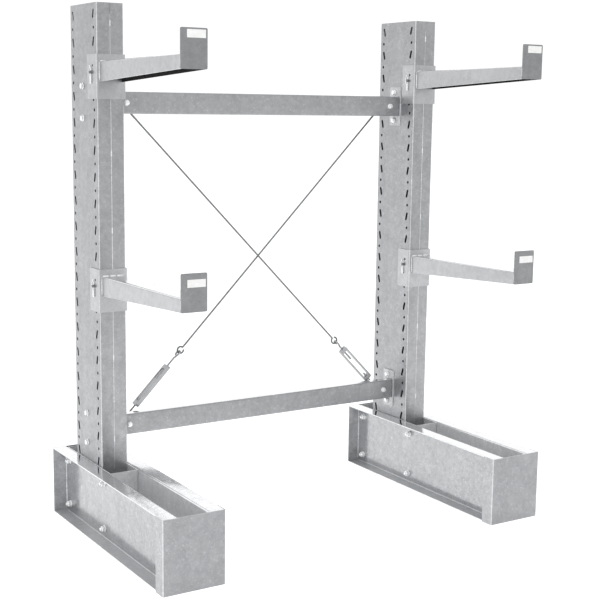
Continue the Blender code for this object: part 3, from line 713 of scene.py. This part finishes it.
def build_bases():
    channel, shoe, cap, rear = base_channel(), shoe_box(), front_cap(), back_plate()
    welds = base_welds()
    seat = BASE_LOW.x + BASE_SHEET + GAP
    bolt = hex_bolt("base_bolt", "X", seat, -seat, **BASE_BOLT)
    for side, way in SIDES:
        x = COLUMN_X[side]
        for half, hand in (("outer", way), ("inner", -way)):
            node = "base_" + side + "_" + half + "_channel"
            piece(node + "_skin", channel, [FLANGE, TOP_HIGHLIGHT, WEB, LIT_TROUGH, EDGE_HIGHLIGHT], "frame",
                  node, shift(x, mirror=hand < 0))
        for node, mesh, mats in (("column_" + side + "_shoe", shoe, [LIT_TROUGH, EDGE_HIGHLIGHT]),
                                 ("base_" + side + "_front_cap", cap, [WEB, CAP, CORNER_HIGHLIGHT]),
                                 ("base_" + side + "_back_plate", rear, [PLATE])):
            piece(node + "_skin", mesh, mats, "frame", node, shift(x))
        for place, level in BASE_BOLTS:
            node = "base_" + side + "_bolt_" + place + "_" + level
            spot = centre_of(node)
            piece(node + "_fine", bolt, ZINC, "frame", node,
                  shift(x, spot.y, spot.z))
        piece("base_" + side + "_welds", welds, WELD, "frame", (), shift(x))


# --- arms -------------------------------------------------------------------------------------
COLLAR_LOW, COLLAR_HIGH = box_from_column("arm_upper_right_collar")
BEAM_LOW, BEAM_HIGH = box_from_column("arm_upper_right_beam")
STOP_LOW, STOP_HIGH = box_from_column("arm_upper_right_end_plate")
PIN_LOW, PIN_HIGH = box_from_column("arm_upper_right_pin")
CLIP_X = centre_of("arm_upper_right_clip").x - COLUMN_X["right"]
ROOT_FOOT, ROOT_TOP = BEAM_LOW.z, COLLAR_HIGH.z - 0.0235
TIP_FOOT, TIP_TOP = STOP_LOW.z, COLLAR_HIGH.z - 0.0150
BEAM_HALF = (BEAM_HIGH.x - BEAM_LOW.x) / 2


def collar_mesh():
    """The plate folded round the column's front, with the pin's hole and a smaller one above."""
    side, front, back = COLLAR_HIGH.x, COLLAR_LOW.y, COLLAR_HIGH.y
    path = [(-side, back), (-side, front), (side, front), (side, back)]
    bm = bmesh.new()
    prism(bm, folded(path, 0.005, 0.0035, 6, 0.001), "Z", COLLAR_LOW.z, COLLAR_HIGH.z)
    soften(bm, 0.0013, 2, 60)
    pin = centre_of("arm_upper_right_pin")
    cut = bmesh.new()
    prism(cut, circle(0.0116, 24, (pin.y, pin.z)), "X", -0.08, 0.08)
    prism(cut, circle(0.0100, 20, (FRONT + 0.0238, pin.z + 0.0215)), "X", -0.08, 0.08)
    mesh = carve("collar", bm, cut)
    mark(mesh, 2, lambda c, n: (abs(n.x) > 0.9 and abs(c.x) > side - 0.001) or n.y < -0.9)
    # a painted highlight on the top and bottom faces, the eased edges and the front bends
    mark(mesh, 1, lambda c, n: abs(n.z) > 0.2 or (n.y < -0.5 and abs(n.x) > 0.5)
         or (n.y > 0.2 and abs(n.x) > 0.2))
    return mesh


def beam_mesh():
    """An inverted channel, shallower at the tip than at the root."""
    rings = []
    for y, foot, top in ((BEAM_HIGH.y, ROOT_FOOT, ROOT_TOP), (BEAM_LOW.y, TIP_FOOT, TIP_TOP)):
        path = [(BEAM_HALF, foot), (BEAM_HALF, top), (-BEAM_HALF, top), (-BEAM_HALF, foot)]
        rings.append([Vector((x, y, z)) for x, z in folded(path, 0.003, 0.0035, 6, 0.0007)])
    bm = bmesh.new()
    skin(bm, rings)
    mesh = mesh_of("beam", bm)
    # the second half of the outline is the inside of the sheet, painted black as shade
    half = len(rings[0]) // 2
    for face in list(mesh.polygons)[half:2 * half - 1]:
        face.material_index = 1
    # a painted highlight on the lower edges of the sides and on the top
    mark(mesh, 2, lambda c, n: abs(n.x) < 0.95 and n.z < -0.3 and abs(c.x) > BEAM_HALF - 0.0015)
    mark(mesh, 3, lambda c, n: n.z > 0.5)
    return mesh


def stop_mesh():
    width, height = STOP_HIGH.x - STOP_LOW.x, STOP_HIGH.z - STOP_LOW.z
    outline = rounded(width, height, 0.004, (0.0, (STOP_HIGH.z + STOP_LOW.z) / 2))
    bm = bmesh.new()
    prism(bm, outline, "Y", STOP_LOW.y, STOP_HIGH.y)
    soften(bm, 0.0009, 3)
    mesh = mesh_of("stop", bm)
    # the eased rim takes the lighter plate zinc as a painted highlight
    mark(mesh, 1, lambda c, n: 0.2 < -n.y < 0.97)
    return mesh


def arm_welds():
    """Three stitches over the beam and one bead down each side, at its root and at its tip."""
    stitches, space = 3, 0.004
    step = (2 * BEAM_HALF - space) / stitches
    bm = bmesh.new()
    for face, foot, top in ((COLLAR_LOW.y, ROOT_FOOT, ROOT_TOP), (STOP_HIGH.y, TIP_FOOT, TIP_TOP)):
        y, over = face - 0.0003, top + 0.0004
        for k in range(stitches):
            x = -BEAM_HALF + 0.0025 + k * step
            bead(bm, (x, y, over), (x + step - space, y, over), 0.0062)
        for x in (-BEAM_HALF - 0.0002, BEAM_HALF + 0.0002):
            bead(bm, (x, y, foot + 0.003), (x, y, top - 0.002), 0.0046)
    return weld_mesh("arm_welds", bm)


def pin_mesh():
    """A turned pin with a chamfered tail, a round head and the clip's cross hole."""
    tail, seat, head = PIN_LOW.x, COLLAR_HIGH.x + 0.0004, PIN_HIGH.x
    bm = bmesh.new()
    revolve(bm, "X", [(tail, 0.0033), (tail + 0.0016, 0.0049), (tail + 0.0020, 0.0050),
                      (seat, 0.0050), (seat, 0.0081), (seat + 0.0004, 0.0085),
                      (seat + 0.0030, 0.0085), (head - 0.0006, 0.0078), (head, 0.0066)])
    cut = bmesh.new()
    prism(cut, circle(0.0044, 16, (CLIP_X, 0.0)), "Z", -0.01, 0.01)
    return carve("pin", bm, cut, 30.0)


def clip_mesh():
    """Spring clip: a straight leg through the pin, a loop below, a waved leg beside the pin."""
    r = 0.0030
    leg = [(0.0, 0.0150), (0.0, 0.0), (0.0, -0.014), (0.0, -0.024), (0.0, -0.031)]
    loop = arc((r, -0.034), r, 180, 360, 8)
    back = [(2 * r, -0.027), (2 * r + 0.0002, -0.018), (0.0092, -0.0095), (0.0118, -0.002),
            (0.0120, 0.005), (0.0098, 0.012), (0.0072, 0.0175), (0.0086, 0.0210)]
    bm = bmesh.new()
    tube(bm, smooth_path([(0.0, y, z) for y, z in leg + loop + back], 6), 0.0033)
    return mesh_of("clip", bm, 60.0)


def sticker_mesh():
    bm = bmesh.new()
    prism(bm, rounded(0.062, 0.024, 0.0012), "Y", STOP_LOW.y - 0.0004, STOP_LOW.y)
    return mesh_of("sticker", bm)


def build_arms():
    collar, beam, stop, welds = collar_mesh(), beam_mesh(), stop_mesh(), arm_welds()
    pin, clip, sticker = pin_mesh(), clip_mesh(), sticker_mesh()
    for level, sticker_drop in (("upper", 0.017), ("lower", 0.031)):
        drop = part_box("arm_" + level + "_right_collar")[1].z - COLLAR_HIGH.z
        for side, _ in SIDES:
            name, x = "arm_" + level + "_" + side, COLUMN_X[side]
            place = shift(x, 0.0, drop)
            piece(name + "_collar_skin", collar, [PLATE, CORNER_HIGHLIGHT, SMOOTH], name,
                  name + "_collar", place)
            piece(name + "_beam_skin", beam, [SMOOTH, INSIDE_SHADE, EDGE_HIGHLIGHT, TOP_HIGHLIGHT], name,
                  name + "_beam", place)
            piece(name + "_stop_skin", stop, [STOP, PLATE], name,
                  name + "_end_plate", place)
            piece(name + "_welds", welds, WELD, name, (), place)
            spot = centre_of(name + "_pin")
            # the pin takes the dark rod zinc as painted shade in the hole round it
            piece(name + "_pin_fine", pin, ROD_AND_PIN_SHADE, name + "_pin_turn", name + "_pin",
                  shift(x, spot.y, spot.z))
            piece(name + "_clip_fine", clip, WIRE, name + "_spring_clip",
                  name + "_clip", shift(x + CLIP_X, spot.y, spot.z))
            sticker_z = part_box(name + "_end_plate")[1].z - sticker_drop
            piece(name + "_sticker", sticker, LABEL, name, (),
                  shift(x + 0.0075, 0.0, sticker_z))


# --- braces, brackets and their bolts ---------------------------------------------------------
BRACE_SHEET = 0.0025
LEG, TAB = 0.004, 0.004
REAR_TAB_Y = FRONT + 0.1423


def brace_mesh(node, bolt_x):
    """A C-section with its open side to the rear and a bolt hole at each end."""
    low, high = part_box(node)
    path = [(high.y, high.z), (low.y, high.z), (low.y, low.z), (high.y, low.z)]
    bm = bmesh.new()
    prism(bm, folded(path, BRACE_SHEET, 0.003), "X", -high.x, high.x)
    cut = bmesh.new()
    for x in (-bolt_x, bolt_x):
        prism(cut, circle(BRACE_BOLT_HOLE, 24, (x, (low.z + high.z) / 2)), "Y", low.y - 0.02,
              low.y + 0.02)
    mesh = carve(node, bm, cut)
    # a painted highlight on the top
    mark(mesh, 1, lambda c, n: n.z > 0.8 and c.z > high.z - 0.006)
    return mesh


def bracket_mesh(node, way, bolt_x, brace_y, z):
    """A leg against the column with a tab behind the brace's face and one behind the brace."""
    low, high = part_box(node)
    face = high.x if way > 0 else low.x
    leg_in = face - way * LEG
    root = leg_in + way * LEG / 2
    bm = bmesh.new()
    prism(bm, rounded(high.y - low.y, high.z - low.z, 0.003, ((high.y + low.y) / 2, z)),
          "X", min(face, leg_in), max(face, leg_in))
    soften(bm, 0.0007, 2, 60)
    for tip, height, y in ((face - way * 0.078, 0.064, brace_y + BRACE_SHEET + GAP),
                           (face - way * 0.121, 0.048, REAR_TAB_Y)):
        outline = rounded(abs(tip - root), height, 0.002, ((tip + root) / 2, z))
        prism(bm, outline, "Y", y, y + TAB)
    cut = bmesh.new()
    for step in (-BRACKET_BOLT_STEP, BRACKET_BOLT_STEP):
        prism(cut, circle(BRACKET_BOLT_HOLE, 20, (BRACKET_BOLT_Y, z + step)), "X", face - 0.02,
              face + 0.02)
    prism(cut, circle(BRACE_BOLT_HOLE, 24, (way * bolt_x, z)), "Y", brace_y - 0.02,
          brace_y + 0.08)
    mesh = carve(node, bm, cut)
    # a painted highlight on the front edge
    mark(mesh, 1, lambda c, n: n.y < -0.3 and c.y < low.y + 0.0015)
    return mesh, leg_in


def bracket_weld(node, way, leg_in, brace_y, z):
    """An upright bead behind the front tab and one before the rear tab."""
    x = leg_in - way * 0.0004
    bm = bmesh.new()
    for y, reach in ((brace_y + BRACE_SHEET + GAP + TAB + 0.0002, 0.029),
                     (REAR_TAB_Y - 0.0002, 0.021)):
        bead(bm, (x, y, z - reach), (x, y, z + reach), 0.0036)
    return weld_mesh(node + "_weld", bm)


def build_bracket(level, side, way, bolt_x, brace_y, z):
    node = "bracket_" + level + "_" + side
    mesh, leg_in = bracket_mesh(node, way, bolt_x, brace_y, z)
    piece(node + "_skin", mesh, [PLATE, EDGE_HIGHLIGHT], "frame", node)
    piece(node + "_weld", bracket_weld(node, way, leg_in, brace_y, z), WELD, "frame")

    # bolts through the leg and the column, heads on the -X side
    outside = COLUMN_X[side] + way * HALF
    ends = min(leg_in, outside) - GAP, max(leg_in, outside) + GAP
    bolt = hex_bolt(node + "_bolt", "X", *ends, **BRACKET_BOLT)
    for step, word in ((-BRACKET_BOLT_STEP, "low"), (BRACKET_BOLT_STEP, "high")):
        piece(node + "_bolt_" + word, bolt, ZINC, "frame", (),
              shift(0.0, BRACKET_BOLT_Y, z + step))


def build_braces():
    for level in LEVELS:
        node = "brace_" + level
        bolt_x = centre_of(node + "_right_bolt").x
        brace_y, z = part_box(node)[0].y, centre_of(node).z
        piece(node + "_skin", brace_mesh(node, bolt_x), [BRACE, TOP_HIGHLIGHT], "frame",
              node)
        for side, way in SIDES:
            build_bracket(level, side, way, bolt_x, brace_y, z)
            bolt_node = node + "_" + side + "_bolt"
            nut_face = (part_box(bolt_node)[1].y - BRACE_BOLT["tail"] - BRACE_BOLT["nut"]
                        - WASHER)
            bolt = hex_bolt(bolt_node, "Y", brace_y - GAP, nut_face, **BRACE_BOLT)
            piece(bolt_node + "_fine", bolt, ZINC, "frame", bolt_node,
                  shift(way * bolt_x, 0.0, z))


# --- tie rods and turnbuckles -----------------------------------------------------------------
ROD_WIDTH, SCREW_WIDTH, SCREW_PITCH = 0.0065, 0.0072, 0.0018
HOOK_EYE, TOP_EYE = 0.0125, 0.0095                # radii of the rod's two bent eyes
HOOK_BEND, LOWER_EYE = 0.0105, 0.0105             # radii of the hook and of the threaded eye
BODY_LENGTH, BODY_WIDTH, BODY_DEPTH, BODY_BOSS = 0.188, 0.034, 0.013, 0.018


def rod_mesh(length, tip):
    """The rod along Z: an eye round the hook whose tip is given, and an eye at its full length."""
    eye = tip - 0.004 - ROD_WIDTH / 2 - GAP + HOOK_EYE
    bottom, top = eye + HOOK_EYE + 0.010, length - 0.022
    path = arc((0.0, eye), HOOK_EYE, 408, 90, 30)
    path += [(0.0, bottom + (top - bottom) * k / 8) for k in range(9)]
    path += arc((0.0, length), TOP_EYE, 270, 588, 30)
    bm = bmesh.new()
    tube(bm, [(x, 0.0, z) for x, z in path], ROD_WIDTH)
    return mesh_of("rod", bm, 60.0)


def turnbuckle_mesh():
    """An open frame with a boss at each end, bored from end to end."""
    middle = (0.0, BODY_LENGTH / 2)
    bm, window, bore, framed = bmesh.new(), bmesh.new(), bmesh.new(), bmesh.new()
    prism(bm, rounded(BODY_WIDTH, BODY_LENGTH, 0.006, middle, 6), "Y", -BODY_DEPTH / 2,
          BODY_DEPTH / 2)
    soften(bm, 0.0022, 3)
    prism(window, rounded(0.022, BODY_LENGTH - 2 * BODY_BOSS, 0.005, middle), "Y", -0.03, 0.03)
    prism(bore, circle(0.009, 24), "Z", -0.01, BODY_LENGTH + 0.01)
    framed.from_mesh(carve("turnbuckle_window", bm, window, None))
    return carve("turnbuckle", framed, bore, 30.0)


def hook_mesh(inner, tip):
    """A screw that ends in an open hook."""
    r = HOOK_BEND
    neck = tip - 3.4 * r
    path = [(0.0, neck - 0.004), (0.0, tip - 3.2 * r), (-r * 0.75, tip - 1.9 * r)]
    path += arc((0.0, tip - r), r, 180, -60, 12)
    bm = bmesh.new()
    threaded(bm, "Z", inner, neck, SCREW_WIDTH, SCREW_PITCH)
    tube(bm, smooth_path([(0.0, y, z) for y, z in path], 4), SCREW_WIDTH)
    return mesh_of("hook", bm, 45.0)


def eye_mesh(outer):
    """A screw that starts in an eye round the lower bolt."""
    r = LOWER_EYE
    path = arc((0.0, 0.0), r, 402, 90, 28) + [(0.0, r + 0.014)]
    bm = bmesh.new()
    threaded(bm, "Z", r + 0.012, outer, SCREW_WIDTH, SCREW_PITCH)
    tube(bm, [(x, 0.0, z) for x, z in path], SCREW_WIDTH)
    return mesh_of("eye", bm, 45.0)


def build_tie(name, way, start, tip, turned):
    """One diagonal, made along Z from its lower bolt, with the turnbuckle's foot at start and the
    hook's tip at tip."""
    low = centre_of("brace_lower_" + ("right" if way > 0 else "left") + "_bolt")
    high = centre_of("brace_upper_" + ("left" if way > 0 else "right") + "_bolt")
    low.y = high.y = centre_of("tie_rod_" + name).y
    along = (high - low).normalized()
    across = Vector((along.z, 0.0, -along.x))
    basis = Matrix((across, Vector((0.0, 1.0, 0.0)), along)).transposed().to_4x4()
    place = Matrix.Translation(low) @ basis
    piece("tie_rod_" + name + "_fine", rod_mesh((high - low).length, tip), ROD_AND_PIN_SHADE, "frame",
          "tie_rod_" + name, place)

    node = "turnbuckle_" + name
    quarter = Matrix.Rotation(math.pi / 2, 4, "Z") if turned else Matrix.Identity(4)
    piece(node + "_body_fine", turnbuckle_mesh(), BODY, node, node + "_body",
          place @ Matrix.Translation((0, 0, start)) @ quarter)
    piece(node + "_hook_fine", hook_mesh(start + BODY_LENGTH - 0.062, tip), BODY,
          "hook_" + name, node + "_hook", place)
    piece(node + "_eye_fine", eye_mesh(start + 0.034), BODY, "frame",
          node + "_eye", place)


build_columns()
build_bases()
build_arms()
build_braces()
build_tie("right", 1, start=0.060, tip=0.298, turned=False)
build_tie("left", -1, start=0.071, tip=0.330, turned=True)


# --- floor, light and camera ------------------------------------------------------------------
CAMERA_YAW, CAMERA_PITCH, CAMERA_ROLL = (math.radians(a) for a in (32.15, 8.993, 0.751))
CAMERA_PLACE = (-2.3213, -3.7053, 1.4972)
FLOOR_WIDTH, FLOOR_LEVEL = 240.0, -0.0006


def build_floor():
    bm = bmesh.new()
    bm.faces.new([bm.verts.new((x, y, FLOOR_LEVEL)) for x, y in circle(FLOOR_WIDTH, 96)])
    floor = bpy.data.objects.new("floor", mesh_of("floor", bm, None))
    bpy.context.scene.collection.objects.link(floor)
    mat, nodes, links, shader = new_material("floor_white", **{"Roughness": 0.9,
                                                              "Emission Strength": 0.82})
    # white under and behind the rack, passing softly into pale grey in front of it: a painted falloff
    # of light on the glowing floor
    spot = nodes.new("ShaderNodeSeparateXYZ")
    links.new(nodes.new("ShaderNodeTexCoord").outputs["Object"], spot.inputs[0])
    aside = times(nodes, links, spot.outputs["X"], -0.505)
    ahead = times_plus(nodes, links, spot.outputs["Y"], -0.863, aside)
    level = remap(nodes, links, ahead, 0.80, 3.4, 1.0, 0.74, "SMOOTHSTEP")
    links.new(tinted(nodes, links, level, (1.0, 1.0, 1.0)), shader.inputs["Emission Color"])
    links.new(tinted(nodes, links, level, (0.5, 0.5, 0.5)), shader.inputs["Base Color"])
    floor.data.materials.append(mat)


def build_world():
    """White surroundings, brighter behind the rack than in front of it, and softer overhead."""
    world = bpy.data.worlds.new("studio")
    world.use_nodes = True
    bpy.context.scene.world = world
    nodes, links = world.node_tree.nodes, world.node_tree.links
    ray = nodes.new("ShaderNodeSeparateXYZ")
    links.new(nodes.new("ShaderNodeTexCoord").outputs["Generated"], ray.inputs[0])
    level = times(nodes, links, remap(nodes, links, ray.outputs["Y"], -0.35, 0.25, 0.84, 1.06),
                  remap(nodes, links, ray.outputs["Z"], 0.35, 0.95, 1.0, 0.72))
    back = nodes["Background"]
    back.inputs["Color"].default_value = (1.0, 1.0, 1.0, 1.0)
    links.new(level, back.inputs["Strength"])


def build_lights():
    """A key light from the front left, and a top light that shows in no reflection."""
    for name, place, size, power, mirrored in (("key", (-2.5, -2.5, 4.5), 3.0, 50.0, True),
                                               ("top", (0.0, 0.5, 4.5), 4.0, 40.0, False)):
        light = bpy.data.lights.new(name, "AREA")
        light.shape = "SQUARE"
        light.size = size
        light.energy = power
        obj = bpy.data.objects.new(name, light)
        obj.location = place
        obj.visible_glossy = mirrored
        aim = Vector((0.0, 0.0, 0.6)) - Vector(place)
        obj.rotation_euler = aim.to_track_quat("-Z", "Y").to_euler()
        bpy.context.scene.collection.objects.link(obj)


def build_camera():
    yaw, pitch, roll = CAMERA_YAW, CAMERA_PITCH, CAMERA_ROLL
    ahead = Vector((math.sin(yaw) * math.cos(pitch), math.cos(yaw) * math.cos(pitch),
                    -math.sin(pitch)))
    level = Vector((math.cos(yaw), -math.sin(yaw), 0.0))
    plumb = level.cross(ahead)
    right = level * math.cos(roll) + plumb * math.sin(roll)
    up = plumb * math.cos(roll) - level * math.sin(roll)
    data = bpy.data.cameras.new("camera")
    data.lens = 73.41
    data.sensor_width = 36.0
    camera = bpy.data.objects.new("camera", data)
    turn = Matrix((right, up, -ahead)).transposed().to_4x4()
    camera.matrix_world = Matrix.Translation(CAMERA_PLACE) @ turn
    bpy.context.scene.collection.objects.link(camera)
    bpy.context.scene.camera = camera


build_floor()
build_world()
build_lights()
build_camera()
bpy.context.scene.view_settings.view_transform = "Standard"
